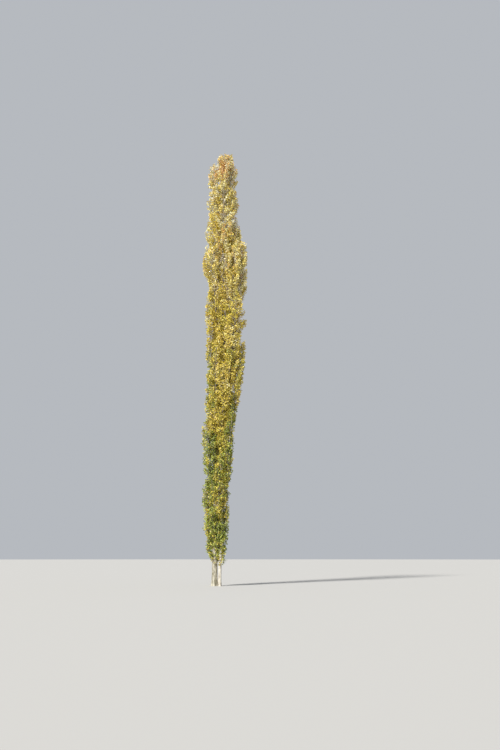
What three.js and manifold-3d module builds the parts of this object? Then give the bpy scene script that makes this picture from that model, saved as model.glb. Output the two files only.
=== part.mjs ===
// A Lombardy poplar in autumn leaf, 27 m tall and about 3 m wide, as it stands at the edge of a field.
// Two stems rise from one root. Steep boughs leave them all the way up, and each bough carries one
// flame-shaped mass of foliage: a stem, the twigs on it, and leaves fused to the twigs.
// Millimetres, +Z up. The origin is the middle of the trunk's flat cut at the ground. +X is to the
// right and +Y away, as seen from the field.

import * as THREE from "three";
import { mergeVertices } from "three/addons/utils/BufferGeometryUtils.js";
import Module from "manifold-3d";

const wasm = await Module();
wasm.setup();

// The two stems. The lean is how far the tip stands from the foot, and a larger bow keeps the lower
// part straighter. A reach is how far the foliage stands out from the stem, by height.
const TRUNK = {
  name: "trunk",
  foot: [0, 0],
  height: 24500,
  lean: [500, 110],
  bow: 3,
  footRadius: 158,
  tipRadius: 17,
  rootTurn: -0.34,
  sides: 14,
  rings: 20,
  leaderLength: 2500,
  firstTurn: 2.0,
  masses: [1350, 23800],
  evenAbove: 21000,
  reach: [
    [1300, 380],
    [2600, 650],
    [7500, 880],
    [14500, 920],
    [18600, 1260],
    [21000, 1200],
    [25600, 1150],
    [27000, 600],
  ],
};
const SECOND_STEM = {
  name: "second_stem",
  foot: [284, -104],
  height: 17700,
  lean: [800, -150],
  bow: 1.4,
  footRadius: 92,
  tipRadius: 14,
  rootTurn: 2.8,
  sides: 10,
  rings: 14,
  leaderLength: 2900,
  firstTurn: 3.8,
  masses: [1600, 16600],
  evenAbove: 17700,
  reach: [
    [1300, 330],
    [3000, 480],
    [6000, 620],
    [11000, 850],
    [18000, 980],
    [20600, 700],
  ],
};
const STEMS = [TRUNK, SECOND_STEM];

const ROOT_FLARE = 0.3; // how much wider a stem is at the ground, as a share of its radius
const ROOT_RISE = 330; // the height in which the flare falls to about a third
const ROOT_LOBES = 5;
const LOBE_DEPTH = 0.3; // as a share of the flare
const SWAY = 28; // how far a stem wanders from its leaning line
const SWAY_PITCH = 5600;
const CLEARANCE = 0.3; // between a piece and what it is seated on

// The masses of foliage stand round a stem in a rising spiral
const GOLDEN_TURN = Math.PI * (3 - Math.sqrt(5));
const MASS_LENGTH = [
  [1500, 1900],
  [5000, 3100],
  [10000, 4300],
  [19000, 4300],
  [23000, 3000],
];
const MASS_STEP = 0.33; // the climb from one mass to the next, as a share of a mass's length
const TURN_SPREAD = 0.3; // how far a turn may differ from the golden one, all in all
const HALF_WIDTH = 0.8; // of a mass, as a share of the crown's reach
const FLAME_START = 0.16; // the flame's half wave starts this far along, so its foot has a width
const FLAME_LEAST = 0.12;
const FOOT_OUT = 0.44; // how far out a mass starts, as a share of the reach
const TIP_OUT = 0.74; // and how far out it ends
const TIP_SPREAD = 0.12; // the difference between the tips furthest in and furthest out
const BELOW_LEADER = 400; // the tips of the other masses stay this far below the leader's tip
const MASS_APART = [
  [2000, 200],
  [7500, 350],
]; // between the axes of two masses at least, by height
const SPRUNG_APART = 90; // the same where both spring from a stem
const STEM_APART = 210; // between a mass's axis and the other stem at least
const SPACE_GAP = 10; // how much nearer than any other axis a mass's own is
const SPACE_END = 1.03; // the space of a mass goes this little beyond its tip
const NO_BOUGH_BELOW = 2500; // lower masses spring from the stem itself
const LEADER_START = 20; // a leader starts this far down, and is then cut level above the stem's tip
const LEADER_HEADING = 1500; // it points as this much of its stem's top does
const UNEVENNESS = 0.12; // how far lengths differ from their rule, as a share

// The boughs
const BOUGH_DROP = 0.36; // how far below its tip a bough leaves the stem, as a share of the mass
const BOUGH_BEND = 0.55; // the bend in a bough, as a share of that drop below its tip
const BOUGH_RADIUS = [20, 42]; // least and greatest, where it leaves the stem
const BOUGH_SHARE = 0.36; // of the stem's own radius there
const BOUGH_TAPER = 0.55;

// The twigs and leaves. Each leaf stands for a spray.
const TWIGS = 5;
const TWIG_PLACES = [0.03, 0.72]; // the lowest and highest on a mass's stem, as shares of it
const TWIG_ANGLE = 0.5;
const TWIG_RADII = [14, 10];
const TWIG_SHARES = [0.62, 0.42, 0.25]; // how far out a twig goes: the most that has room
const TWIG_LEAVES = [
  [0.45, -0.8],
  [0.75, 0.8],
  [0.96, 0],
]; // the place of each leaf along its twig, and its turn to the side
const STEM_LEAVES = 7;
const STEM_LEAF_PLACES = [0.12, 0.985];
const STEM_TIP_RADIUS = 12;
const TOP_LEAF = 560; // from the end of a mass's stem to the mass's tip
const TOP_LEAF_LEAN = 0.04;
const LEAF_LENGTH = 1.27; // as a share of its mass's half width
const LEAF_LONGEST = 1150;
const LEAF_SHORTEST = 0.55; // as a share of its full length, after the last try
const LEAF_WIDTH = 0.54; // as a share of its length
const LEAF_THICKNESS = 1 / 60;
const LEAF_WIDEST = 0.43; // the place where a leaf is widest
const TWIG_LEAF_LEAN = 0.45;
const STEM_LEAF_LEAN = 0.3;
const LEAF_TURN = 1.2; // how far a leaf's turn may differ from its rule, all in all
const LEAF_TURN_STEP = 1 / 3; // and how much further with each try
const LEAF_TRIES = 12;
const LEAF_GAP = 4; // between a leaf and the others of its mass
const LIMB_GAP = 8; // between a mass and any limb or mass that isn't its own
const FINEST = 4; // no detail of a mass is finer

const BARK = new THREE.MeshStandardMaterial({ color: "#c4bdac", roughness: 0.9, metalness: 0 });
const BOUGH_BARK = new THREE.MeshStandardMaterial({ color: "#9b948c", roughness: 0.85, metalness: 0 });
const LEAVES_LOW = new THREE.MeshStandardMaterial({ color: "#7f8a36", roughness: 0.6, metalness: 0 });
const LEAVES_MIDDLE = new THREE.MeshStandardMaterial({ color: "#b0a038", roughness: 0.6, metalness: 0 });
const LEAVES_TOP = new THREE.MeshStandardMaterial({ color: "#c6a33a", roughness: 0.6, metalness: 0 });
const LOW_BELOW = 8000;
const TOP_ABOVE = 16500;

// A number from 0 to 1 that is always the same for the same seed
function chance(seed) {
  const spread = Math.sin(seed * 12.9898 + 4.1) * 43758.5453;
  return spread - Math.floor(spread);
}

// A factor near 1, also the same for the same seed
function vary(seed) {
  return 1 + UNEVENNESS * (2 * chance(seed) - 1);
}

// A size at a height, from [height, size] pairs and straight between them
function sizeAt(profile, z) {
  const next = profile.findIndex(([height]) => height >= z);
  if (next === 0) return profile[0][1];
  if (next < 0) return profile[profile.length - 1][1];
  const [low, high] = [profile[next - 1], profile[next]];
  return THREE.MathUtils.mapLinear(z, low[0], high[0], low[1], high[1]);
}

const taper = (from, to) => (along) => THREE.MathUtils.lerp(from, to, along);

// Solids and meshes

function solidOf(geometry) {
  geometry.deleteAttribute("normal");
  geometry.deleteAttribute("uv");
  const closed = mergeVertices(geometry, 1e-3);
  return new wasm.Manifold(
    new wasm.Mesh({
      numProp: 3,
      vertProperties: closed.getAttribute("position").array,
      triVerts: new Uint32Array(closed.index.array),
    }),
  );
}

function meshOf(name, solid, material) {
  const { vertProperties, triVerts } = solid.getMesh();
  const geometry = new THREE.BufferGeometry()
    .setAttribute("position", new THREE.BufferAttribute(vertProperties, 3))
    .setIndex(new THREE.BufferAttribute(triVerts, 1));
  geometry.computeVertexNormals();
  const mesh = new THREE.Mesh(geometry, material);
  mesh.name = name;
  return mesh;
}

function cornersOf(solid) {
  const { vertProperties } = solid.getMesh();
  return Array.from({ length: vertProperties.length / 3 }, (_, i) =>
    new THREE.Vector3().fromArray(vertProperties, 3 * i),
  );
}

// A limb is a cylinder whose rings are set square to a line
function limbSolid(line, radiusAt, sides, steps) {
  const geometry = new THREE.CylinderGeometry(1, 1, 1, sides, steps);
  const places = geometry.getAttribute("position");
  const { normals, binormals } = line.computeFrenetFrames(steps);
  for (let i = 0; i < places.count; i++) {
    const along = places.getY(i) + 0.5;
    const ring = Math.round(along * steps);
    const place = line
      .getPointAt(along)
      .addScaledVector(normals[ring], places.getX(i) * radiusAt(along))
      .addScaledVector(binormals[ring], -places.getZ(i) * radiusAt(along));
    places.setXYZ(i, place.x, place.y, place.z);
  }
  return solidOf(geometry);
}

// The stems

function onStem(stem, z) {
  const climb = z / stem.height;
  const sway = SWAY * Math.sin((2 * Math.PI * z) / SWAY_PITCH) * Math.min(1, climb * 4);
  return new THREE.Vector3(
    stem.foot[0] + stem.lean[0] * climb ** stem.bow + sway,
    stem.foot[1] + stem.lean[1] * climb ** stem.bow - sway,
    z,
  );
}

function stemRadius(stem, z) {
  return stem.tipRadius + (stem.footRadius - stem.tipRadius) * (1 - z / stem.height) ** 0.85;
}

// A stem is a cylinder whose rings lie level, closer together over the roots
function stemSolid(stem, grow) {
  const geometry = new THREE.CylinderGeometry(1, 1, 1, stem.sides, stem.rings);
  const places = geometry.getAttribute("position");
  for (let i = 0; i < places.count; i++) {
    const [across, up, along] = [places.getX(i), places.getY(i) + 0.5, places.getZ(i)];
    const z = stem.height * up ** 1.9;
    const turn = Math.atan2(across, along);
    const lobe = 1 + LOBE_DEPTH * Math.cos(ROOT_LOBES * (turn - stem.rootTurn));
    const flare = 1 + ROOT_FLARE * lobe * Math.exp(-z / ROOT_RISE);
    const out = Math.hypot(across, along) * (stemRadius(stem, z) * flare + grow);
    const middle = onStem(stem, z);
    places.setXYZ(i, middle.x + out * Math.cos(turn), middle.y + out * Math.sin(turn), z);
  }
  return solidOf(geometry);
}

// Where the masses are

// The line round which a stem's crown is even
function crownMiddle(stem, z) {
  return onStem(stem, Math.min(z, stem.evenAbove)).setZ(z);
}

// The foot and tip of the mass that starts at height z on this side of the stem
function placeMass(stem, z, turn, seed) {
  const side = new THREE.Vector3(Math.cos(turn), Math.sin(turn), 0);
  const at = (height, out) =>
    crownMiddle(stem, height).addScaledVector(side, out * sizeAt(stem.reach, height));
  const length = sizeAt(MASS_LENGTH, z) * vary(seed);
  const top = Math.min(z + length, stem.height + stem.leaderLength - BELOW_LEADER);
  const springs = z < NO_BOUGH_BELOW;
  return {
    stem,
    springs,
    seed,
    foot: springs ? onStem(stem, z) : at(z, FOOT_OUT),
    tip: at(top, TIP_OUT + TIP_SPREAD * (chance(seed + 0.5) - 0.5)),
    halfWidth: HALF_WIDTH * sizeAt(stem.reach, (z + top) / 2),
  };
}

// The mass that sits on a stem's own tip
function placeLeader(stem) {
  const foot = onStem(stem, stem.height);
  const heading = foot.clone().sub(onStem(stem, stem.height - LEADER_HEADING)).normalize();
  return {
    stem,
    leads: true,
    seed: stem.height,
    foot,
    tip: foot.clone().addScaledVector(heading, stem.leaderLength),
    halfWidth: HALF_WIDTH * sizeAt(stem.reach, stem.height),
  };
}

function pointsUpAxis(mass, count = 24) {
  return Array.from({ length: count + 1 }, (_, i) => mass.foot.clone().lerp(mass.tip, i / count));
}

function gapBetween(points, others) {
  return Math.min(...points.flatMap((a) => others.map((b) => a.distanceTo(b))));
}

// A mass is kept if its axis has room beside the other stem and the masses already there
function hasRoom(mass, others) {
  const rival = STEMS.find((stem) => stem !== mass.stem);
  const axis = pointsUpAxis(mass);
  const beside = axis
    .filter((p) => p.z < rival.height + rival.leaderLength / 2)
    .every((p) => p.distanceTo(onStem(rival, Math.min(p.z, rival.height))) > STEM_APART);
  const apart = (other) =>
    mass.springs && other.springs ? SPRUNG_APART : sizeAt(MASS_APART, mass.foot.z);
  return beside && others.every((other) => gapBetween(axis, pointsUpAxis(other)) > apart(other));
}

function placeMasses() {
  const masses = STEMS.map(placeLeader);
  for (const stem of STEMS) {
    let turn = stem.firstTurn;
    let z = stem.masses[0];
    for (let i = 0; z < stem.masses[1]; i++) {
      const mass = placeMass(stem, z, turn, stem.height / 100 + i);
      if (hasRoom(mass, masses)) masses.push(mass);
      turn += GOLDEN_TURN + TURN_SPREAD * (chance(i + 0.3) - 0.5);
      z += MASS_STEP * sizeAt(MASS_LENGTH, z);
    }
  }
  return masses.sort((a, b) => a.foot.z - b.foot.z);
}

// How far a mass reaches out from its axis, from its foot at 0 to its tip at 1, like a flame
function flameWidth(mass, along) {
  const climb = THREE.MathUtils.clamp(along, 0, 1) ** 0.85;
  const swell = Math.sin(Math.PI * THREE.MathUtils.lerp(FLAME_START, 1, climb));
  return mass.halfWidth * Math.max(FLAME_LEAST, swell) ** 0.8;
}

// How far a point is from a mass's axis, and how far up the axis
function offAxis(mass, p) {
  const axis = mass.tip.clone().sub(mass.foot);
  const along = p.clone().sub(mass.foot).dot(axis) / axis.lengthSq();
  const beside = mass.foot.clone().addScaledVector(axis, THREE.MathUtils.clamp(along, 0, 1));
  return { out: beside.distanceTo(p), along };
}

// The space of a mass is inside its crown, inside its own flame, and nearer to its axis than to
// any other mass's
function inSpace(mass, masses, p) {
  const { out, along } = offAxis(mass, p);
  return (
    along < SPACE_END &&
    out < flameWidth(mass, along) &&
    p.distanceTo(crownMiddle(mass.stem, p.z)) < sizeAt(mass.stem.reach, p.z) &&
    masses.every((other) => other === mass || offAxis(other, p).out > out + SPACE_GAP)
  );
}

// Boughs

function boughDrop(mass) {
  return BOUGH_DROP * mass.tip.distanceTo(mass.foot);
}

function boughRadius(mass) {
  const radius = BOUGH_SHARE * stemRadius(mass.stem, mass.foot.z - boughDrop(mass));
  return THREE.MathUtils.clamp(radius, ...BOUGH_RADIUS);
}

// A bough leaves the stem's middle at a steep slant and turns into line with its mass
function boughLine(mass) {
  const heading = mass.tip.clone().sub(mass.foot).normalize();
  const root = onStem(mass.stem, mass.foot.z - boughDrop(mass));
  const bend = mass.foot.clone().addScaledVector(heading, -BOUGH_BEND * boughDrop(mass));
  return new THREE.QuadraticBezierCurve3(root, bend, mass.foot);
}

// Foliage

// A direction square to a mass's axis
function aside(mass, turn) {
  const heading = mass.tip.clone().sub(mass.foot).normalize();
  return new THREE.Vector3(1, 0, 0).cross(heading).normalize().applyAxisAngle(heading, turn);
}

// A leaf is a thin rhomb. It rises beside its mass's axis, leans out and shows its face outwards.
function leafSolid(mass, root, turn, lean, length) {
  const axis = mass.tip.clone().sub(mass.foot).normalize();
  const out = aside(mass, turn);
  const heading = axis.clone().multiplyScalar(Math.cos(lean)).addScaledVector(out, Math.sin(lean));
  const side = new THREE.Vector3().crossVectors(heading, out).normalize();
  const flat = new THREE.Vector3().crossVectors(side, heading);
  const geometry = new THREE.OctahedronGeometry(1);
  const places = geometry.getAttribute("position");
  for (let i = 0; i < places.count; i++) {
    const [across, up, off] = [places.getX(i), places.getY(i), places.getZ(i)];
    const along = up === 0 ? LEAF_WIDEST : (up + 1) / 2;
    const place = root
      .clone()
      .addScaledVector(heading, along * length)
      .addScaledVector(side, (across * LEAF_WIDTH * length) / 2)
      .addScaledVector(flat, (off * LEAF_THICKNESS * length) / 2);
    places.setXYZ(i, place.x, place.y, place.z);
  }
  return solidOf(geometry);
}

function twigLine(mass, along, turn, share) {
  const root = mass.foot.clone().lerp(mass.tip, along);
  const room = share * flameWidth(mass, along);
  const axis = mass.tip.clone().sub(mass.foot).normalize();
  const end = root
    .clone()
    .addScaledVector(aside(mass, turn), room)
    .addScaledVector(axis, room / Math.tan(TWIG_ANGLE));
  return new THREE.LineCurve3(root, end);
}

// The stem of a mass, and the twigs that leave it in a spiral where they have room
function growShoots(mass, footRadius, hasSpace) {
  const heading = mass.tip.clone().sub(mass.foot).normalize();
  const start = mass.foot.clone().addScaledVector(heading, mass.leads ? -LEADER_START : CLEARANCE);
  const end = mass.tip.clone().addScaledVector(heading, -TOP_LEAF);
  const line = new THREE.LineCurve3(start, end);
  const shoots = [{ line, solid: limbSolid(line, taper(footRadius, STEM_TIP_RADIUS), 3, 1) }];
  for (let i = 0; i < TWIGS; i++) {
    const along = THREE.MathUtils.lerp(...TWIG_PLACES, i / (TWIGS - 1));
    const turn = mass.seed + i * GOLDEN_TURN;
    const twig = TWIG_SHARES.map((share) => twigLine(mass, along, turn, share))
      .map((line) => ({ line, turn, solid: limbSolid(line, taper(...TWIG_RADII), 3, 1) }))
      .find(({ solid }) => hasSpace(solid));
    if (twig) shoots.push(twig);
  }
  return shoots;
}

// A leaf's root is at the middle of its shoot, and it touches nothing else. Where it has no room it
// is tried again, shorter, more upright and turned a little.
function growLeaves(mass, shoots, hasSpace) {
  const leaves = [];
  const fullLength = Math.min(LEAF_LENGTH * mass.halfWidth, LEAF_LONGEST);
  const grow = (shoot, along, turn, lean, seed) => {
    const root = shoot.line.getPointAt(along);
    const others = shoots.filter((other) => other !== shoot).map(({ solid }) => solid);
    for (let attempt = 0; attempt < LEAF_TRIES; attempt++) {
      const ease = 1 - attempt / LEAF_TRIES;
      const spread = LEAF_TURN + LEAF_TURN_STEP * attempt;
      const turned = turn + spread * (chance(seed + attempt * 0.37) - 0.5);
      const length = fullLength * vary(seed) * THREE.MathUtils.lerp(LEAF_SHORTEST, 1, ease);
      const leaf = leafSolid(mass, root, turned, lean * ease, length);
      const free = [...others, ...leaves].every((other) => leaf.minGap(other, LEAF_GAP) >= LEAF_GAP);
      if (free && hasSpace(leaf)) return leaves.push(leaf);
    }
  };
  const [stem, ...twigs] = shoots;
  for (const twig of twigs)
    TWIG_LEAVES.forEach(([along, side], i) =>
      grow(twig, along, twig.turn + side, TWIG_LEAF_LEAN, mass.seed + 3.1 * twig.turn + i),
    );
  for (let i = STEM_LEAVES; i > 0; i--) {
    const along = THREE.MathUtils.lerp(...STEM_LEAF_PLACES, (i - 1) / (STEM_LEAVES - 1));
    const lean = i === STEM_LEAVES ? TOP_LEAF_LEAN : STEM_LEAF_LEAN;
    grow(stem, along, mass.seed + i * GOLDEN_TURN, lean, mass.seed + 60 + i);
  }
  return leaves;
}

function massSolid(mass, masses, footRadius, limbs) {
  const neighbours = masses.filter(({ solid }) => solid).map(({ solid }) => solid);
  const hasSpace = (solid) =>
    cornersOf(solid).every((p) => inSpace(mass, masses, p)) &&
    [limbs, ...neighbours].every((other) => solid.minGap(other, LIMB_GAP) >= LIMB_GAP);
  const shoots = growShoots(mass, footRadius, hasSpace);
  const leaves = growLeaves(mass, shoots, hasSpace);
  return wasm.Manifold.union([...shoots.map(({ solid }) => solid), ...leaves]).simplify(FINEST);
}

function leafMaterial(mass) {
  const middle = (mass.foot.z + mass.tip.z) / 2;
  if (middle < LOW_BELOW) return LEAVES_LOW;
  return middle < TOP_ABOVE ? LEAVES_MIDDLE : LEAVES_TOP;
}

// The whole tree. The second stem, the boughs and the lowest masses are cut clear of the stems that
// they are seated on.

const poplar = new THREE.Group();
const trunk = stemSolid(TRUNK, 0);
const trunkSeat = stemSolid(TRUNK, CLEARANCE);
const secondStem = stemSolid(SECOND_STEM, 0).subtract(trunkSeat);
const stemSeats = trunkSeat.add(stemSolid(SECOND_STEM, CLEARANCE));
poplar.add(meshOf(TRUNK.name, trunk, BARK), meshOf(SECOND_STEM.name, secondStem, BARK));

const masses = placeMasses();
const limbs = [trunk, secondStem];
masses.forEach((mass, i) => {
  mass.label = String(i + 1).padStart(2, "0");
  if (mass.leads || mass.springs) return;
  const radiusAt = taper(boughRadius(mass), boughRadius(mass) * BOUGH_TAPER);
  const bough = limbSolid(boughLine(mass), radiusAt, 6, 4).subtract(stemSeats);
  limbs.push(bough);
  poplar.add(meshOf("bough_" + mass.label, bough, BOUGH_BARK));
});

const allLimbs = wasm.Manifold.union(limbs);
for (const mass of masses) {
  const footRadius = mass.leads ? mass.stem.tipRadius : boughRadius(mass) * BOUGH_TAPER;
  const grown = massSolid(mass, masses, footRadius, allLimbs);
  if (mass.springs) mass.solid = grown.subtract(stemSeats);
  else if (mass.leads) mass.solid = grown.trimByPlane([0, 0, 1], mass.stem.height + CLEARANCE);
  else mass.solid = grown;
  poplar.add(meshOf("foliage_" + mass.label, mass.solid, leafMaterial(mass)));
}

export default poplar;
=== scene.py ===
# A Lombardy poplar in autumn leaf: two stems from one root, steep boughs, and on each bough a
# flame-shaped mass of shoots, twigs and leaves. Everything is in metres in the frame of the packed
# part: the origin is the middle of the trunk's cut at the ground, +Z up, +X to the right, +Y away.

import math
from types import SimpleNamespace

import bpy
import numpy as np
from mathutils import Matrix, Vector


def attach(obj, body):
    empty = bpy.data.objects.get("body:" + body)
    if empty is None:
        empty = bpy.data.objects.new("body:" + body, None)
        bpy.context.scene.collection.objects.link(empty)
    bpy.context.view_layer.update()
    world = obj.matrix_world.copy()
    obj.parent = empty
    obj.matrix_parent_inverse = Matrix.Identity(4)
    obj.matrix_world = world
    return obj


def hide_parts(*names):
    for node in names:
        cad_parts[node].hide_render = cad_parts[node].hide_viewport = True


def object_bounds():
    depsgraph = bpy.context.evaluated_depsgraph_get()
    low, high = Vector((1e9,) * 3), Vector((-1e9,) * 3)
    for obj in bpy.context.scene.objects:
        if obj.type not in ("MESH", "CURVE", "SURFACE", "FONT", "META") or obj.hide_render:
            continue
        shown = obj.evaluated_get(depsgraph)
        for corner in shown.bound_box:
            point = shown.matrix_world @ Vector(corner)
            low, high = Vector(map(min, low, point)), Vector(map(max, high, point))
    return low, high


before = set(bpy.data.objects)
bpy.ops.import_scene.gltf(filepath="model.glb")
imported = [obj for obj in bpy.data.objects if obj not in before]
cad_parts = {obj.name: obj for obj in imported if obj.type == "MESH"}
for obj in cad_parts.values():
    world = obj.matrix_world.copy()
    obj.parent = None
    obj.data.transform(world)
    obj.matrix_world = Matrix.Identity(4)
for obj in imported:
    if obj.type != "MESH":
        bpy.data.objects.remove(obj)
cad_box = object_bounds()
draw = np.random.default_rng(4)


# The two stems
# The trunk and the thinner stem beside it part at the ground. Each is one pole of poplar wood
# under pale bark, furrowed over the flare of its roots and smoother above, cut flat at the ground.

TRUNK = SimpleNamespace(
    name="trunk",
    foot=(0, 0),
    height=24.5,
    lean=(0.5, 0.11),  # how far its tip stands to the right of its foot and behind it
    bow=3,  # above 1, so that it leans more towards its tip
    foot_radius=0.158,
    tip_radius=0.017,
    root_turn=-0.34,  # the direction of its first root, in radians from +X
    leader_length=2.5,
    first_turn=2.0,  # the direction of its lowest mass
    masses=(1.35, 23.8),  # the heights between which its masses start
    even_above=21,  # the crown's own line goes straight up from this height
    reach=(  # how far out its masses reach, by height
        (1.3, 0.38),
        (2.6, 0.65),
        (7.5, 0.88),
        (14.5, 0.92),
        (18.6, 1.26),
        (21, 1.2),
        (25.6, 1.15),
        (27, 0.6),
    ),
    edge=(  # how far out its shoots may go, by height
        (1.3, 0.48),
        (2, 0.6),
        (2.6, 0.7),
        (5.9, 0.8),
        (8, 0.88),
        (9.9, 0.82),
        (12.3, 0.78),
        (14.6, 0.76),
        (16.9, 0.92),
        (17.7, 0.74),
        (18.4, 1.43),
        (19.2, 1.4),
        (19.8, 0.94),
        (20.4, 1.27),
        (21.4, 1.14),
        (22.7, 0.9),
        (23.5, 1.12),
        (24, 0.88),
        (24.8, 0.98),
        (25.6, 0.98),
        (26.1, 0.84),
        (26.6, 0.5),
        (27, 0.15),
    ),
    bark_sides=80,
    bark_rings=400,
    bark_colours=("c6c0ae", "867f67", "544d3d"),  # pale, weathered, and down in the splits
)
SECOND_STEM = SimpleNamespace(
    name="second_stem",
    foot=(0.284, -0.104),
    height=17.7,
    lean=(0.8, -0.15),
    bow=1.4,
    foot_radius=0.092,
    tip_radius=0.014,
    root_turn=2.8,
    leader_length=2.9,
    first_turn=3.8,
    masses=(1.6, 16.6),
    even_above=17.7,
    reach=(
        (1.3, 0.33),
        (3, 0.48),
        (6, 0.62),
        (11, 0.85),
        (18, 0.98),
        (20.6, 0.7),
    ),
    edge=(
        (1.3, 0.4),
        (3, 0.42),
        (6, 0.44),
        (8, 0.52),
        (9.9, 0.68),
        (11, 0.86),
        (15.6, 0.84),
        (16.4, 0.72),
        (18.6, 0.86),
        (20.2, 0.84),
        (20.6, 0.5),
    ),
    bark_sides=60,
    bark_rings=300,
    bark_colours=("e4decf", "c2b9a8", "685c4f"),
)
STEMS = (TRUNK, SECOND_STEM)
ROOT_FLARE = 0.3  # how much wider a stem is at the ground, as a share of its radius
ROOT_RISE = 0.33  # the height in which the flare falls to about a third
ROOT_LOBES = 5
LOBE_DEPTH = 0.3
TAPER_CURVE = 0.85  # under 1, so that a stem tapers most towards its tip
SWAY = 0.028  # how far a stem wanders from its leaning line
SWAY_PITCH = 5.6
SWAY_RISE = 0.25  # the share of its height in which the sway grows to its full width
FIRST_CUTS = 20  # the lengths into which a pole is cut first, and then each of them again
LOW_RINGS = 0.25  # under 1, so that the rings lie closer together over the roots
SMOOTH_ANGLE = math.radians(60)
OLD_BARK_RISE = 2.4  # the height in which the furrows grow faint
FURROW_GRAIN = 0.045
FURROW_STRETCH = 6  # how much longer than wide a furrow is
FURROW_DEPTH = 0.013
RIPPLE_GRAIN = 0.11
RIPPLE_STRETCH = 2.5
RIPPLE_DEPTH = 0.004
RIPPLE_FADE = 0.9  # the share of the ripples' depth that is lost at the stem's tip
BARK_DETAIL = 3
TINY = 1e-6  # a length under this counts as nothing


def size_at(profile, z):
    """A size at a height, from (height, size) pairs and straight between them"""
    heights, sizes = zip(*profile)
    return np.interp(z, heights, sizes)


def on_stem(stem, z):
    """The middle of a stem at each height z"""
    z = np.asarray(z, float)
    climb = z / stem.height
    sway = SWAY * np.sin(2 * np.pi * z / SWAY_PITCH) * np.minimum(1, climb / SWAY_RISE)
    x = stem.foot[0] + stem.lean[0] * climb**stem.bow + sway
    y = stem.foot[1] + stem.lean[1] * climb**stem.bow - sway
    return np.stack([x, y, z], axis=-1)


def stem_radius(stem, z):
    """Half a stem's thickness at a height, without the root flare"""
    taper = (1 - z / stem.height) ** TAPER_CURVE
    return stem.tip_radius + (stem.foot_radius - stem.tip_radius) * taper


def points_of(piece):
    """Every corner of a piece's mesh, one row each"""
    places = np.empty(3 * len(piece.data.vertices), np.float32)
    piece.data.vertices.foreach_get("co", places)
    return places.reshape(-1, 3).astype(float)


def move_points(piece, places):
    """Moves every corner of a piece's mesh to its row's place"""
    piece.data.vertices.foreach_set("co", places.astype(np.float32).ravel())
    piece.data.update()


def round_pole(name, sides, cuts):
    """A pole one unit high and one in radius, its long edges cut into level rings"""
    bpy.ops.object.select_all(action="DESELECT")
    bpy.ops.mesh.primitive_cylinder_add(vertices=sides, radius=1, depth=1, location=(0, 0, 0.5))
    pole = bpy.context.object
    pole.name = name
    bpy.ops.object.transform_apply(location=True, rotation=True, scale=True)
    for cut in cuts:
        bpy.ops.object.mode_set(mode="EDIT")
        bpy.ops.mesh.select_mode(type="EDGE")
        bpy.ops.mesh.select_all(action="DESELECT")
        bpy.ops.object.mode_set(mode="OBJECT")
        corners = pole.data.vertices
        for edge in pole.data.edges:
            low, high = edge.vertices
            edge.select = abs(corners[low].co.z - corners[high].co.z) > TINY
        bpy.ops.object.mode_set(mode="EDIT")
        bpy.ops.mesh.subdivide(number_cuts=cut - 1)
        bpy.ops.object.mode_set(mode="OBJECT")
    return pole


def press_bark(pole, grain, stretch, depth, weights):
    """Presses a ridged pattern, drawn out along the wood, into the pole"""
    bpy.ops.object.empty_add(location=(0, 0, 0))
    ruler = bpy.context.object
    ruler.scale = (1, 1, stretch)
    bpy.context.view_layer.update()
    pattern = bpy.data.textures.new("bark_pattern", "CLOUDS")
    pattern.noise_type = "HARD_NOISE"
    pattern.noise_scale = grain
    pattern.noise_depth = BARK_DETAIL
    weight = pole.vertex_groups.new(name="pressed")
    for corner, share in enumerate(weights):
        weight.add([corner], share, "REPLACE")
    press = pole.modifiers.new("press", "DISPLACE")
    press.texture = pattern
    press.texture_coords = "OBJECT"
    press.texture_coords_object = ruler
    press.vertex_group = weight.name
    press.strength = depth
    bpy.ops.object.select_all(action="DESELECT")
    pole.select_set(True)
    bpy.context.view_layer.objects.active = pole
    bpy.ops.object.modifier_apply(modifier=press.name)
    pole.vertex_groups.remove(pole.vertex_groups["pressed"])
    bpy.data.objects.remove(ruler)
    bpy.data.textures.remove(pattern)


def model_stem(stem):
    """A pole shaped to the stem's line, taper and root flare, with the bark pressed into it"""
    cuts = (FIRST_CUTS, stem.bark_rings // FIRST_CUTS)
    pole = round_pole(stem.name + "_bark", stem.bark_sides, cuts)
    places = points_of(pole)
    turn = np.arctan2(places[:, 1], places[:, 0])
    up = places[:, 2]
    z = stem.height * up * (LOW_RINGS + (1 - LOW_RINGS) * up)
    lobe = 1 + LOBE_DEPTH * np.cos(ROOT_LOBES * (turn - stem.root_turn))
    flare = 1 + ROOT_FLARE * lobe * np.exp(-z / ROOT_RISE)
    out = np.hypot(places[:, 0], places[:, 1]) * stem_radius(stem, z) * flare
    shaped = on_stem(stem, z)
    shaped[:, 0] += out * np.cos(turn)
    shaped[:, 1] += out * np.sin(turn)
    move_points(pole, shaped)
    furrowed = np.exp(-z / OLD_BARK_RISE)
    rippled = 1 - RIPPLE_FADE * z / stem.height
    press_bark(pole, FURROW_GRAIN, FURROW_STRETCH, FURROW_DEPTH, furrowed)
    press_bark(pole, RIPPLE_GRAIN, RIPPLE_STRETCH, RIPPLE_DEPTH, rippled)
    pressed = points_of(pole)
    pressed[:, 2] = np.where(z < TINY, 0, np.maximum(pressed[:, 2], 0))
    move_points(pole, pressed)
    bpy.ops.object.shade_smooth_by_angle(angle=SMOOTH_ANGLE)
    return pole


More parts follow.
